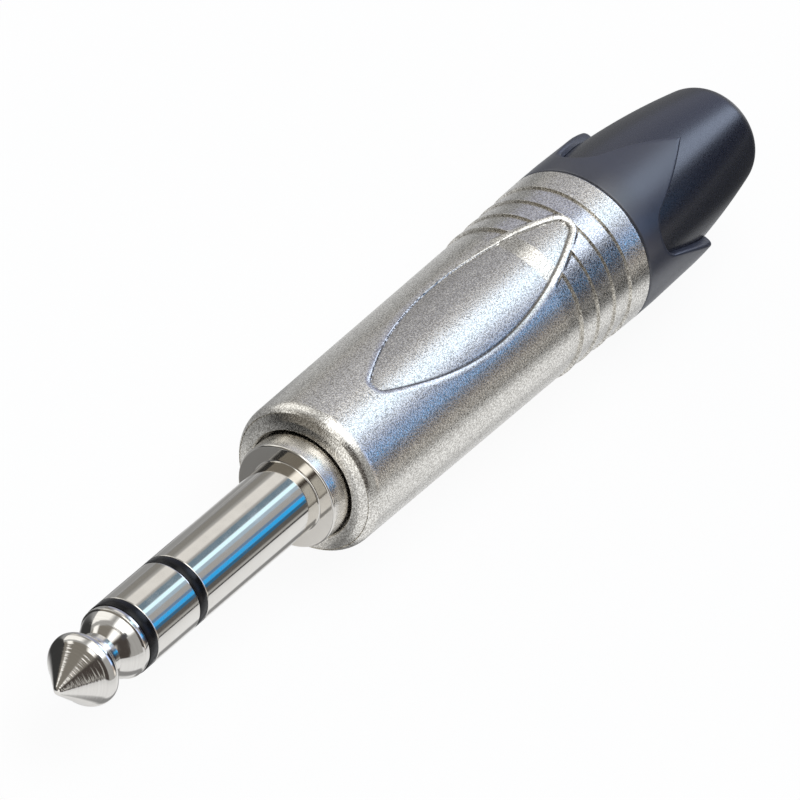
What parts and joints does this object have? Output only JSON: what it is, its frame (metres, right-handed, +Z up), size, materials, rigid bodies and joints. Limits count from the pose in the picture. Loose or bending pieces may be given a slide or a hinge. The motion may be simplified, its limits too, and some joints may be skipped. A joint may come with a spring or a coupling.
{
  "type": "stereo jack plug",
  "caption": "Straight 6.35 mm stereo jack plug with a tapered metal shell, insulated contacts, collet chuck and screw-on cable gland.",
  "frame": {"origin": "centre of the shoulder where the plug finger meets its collar", "axes": "+X along the plug towards its tip, +Z up through the shell's oval recess"},
  "size_m": [0.094, 0.0144, 0.0144],
  "materials": {
    "polished_nickel": "bright nickel plate on turned brass",
    "satin_nickel": "pearl nickel plate on a die casting",
    "tinned_brass": "tin plate, satin",
    "black_insulator": "gloss",
    "laminate_washer": "matte laminate",
    "liner_plastic": "matte",
    "chuck_plastic": "matte",
    "gland_plastic": "fine matte",
    "boot_rubber": "smooth satin"
  },
  "bodies": {
    "plug": {"tip_contact": "polished_nickel", "front_insulator": "black_insulator", "ring_contact": "polished_nickel", "middle_insulator": "black_insulator", "sleeve_contact": "polished_nickel", "inner_tube": "black_insulator", "outer_tube": "black_insulator", "ground_terminal": "tinned_brass", "ground_washer": "laminate_washer", "ring_terminal": "tinned_brass", "ring_washer": "laminate_washer", "tip_terminal": "tinned_brass", "shell": "satin_nickel", "liner": "liner_plastic"},
    "chuck": {"chuck": "chuck_plastic"},
    "gland": {"gland": "gland_plastic", "boot": "boot_rubber"}
  },
  "joints": [
    {"name": "chuck_slide", "type": "slide", "parent": "plug", "child": "chuck", "axis": [-1, 0, 0], "range_m": [0, 0.0051]},
    {"name": "gland_turn", "type": "hinge", "parent": "chuck", "child": "gland", "pos_m": [-0.045, 0, 0], "axis": [-1, 0, 0], "range_deg": [0, 1440]}
  ],
  "couplings": [
    {"joint": "chuck_slide", "follows": "gland_turn", "m_per_rad": 0.00019894}
  ]
}
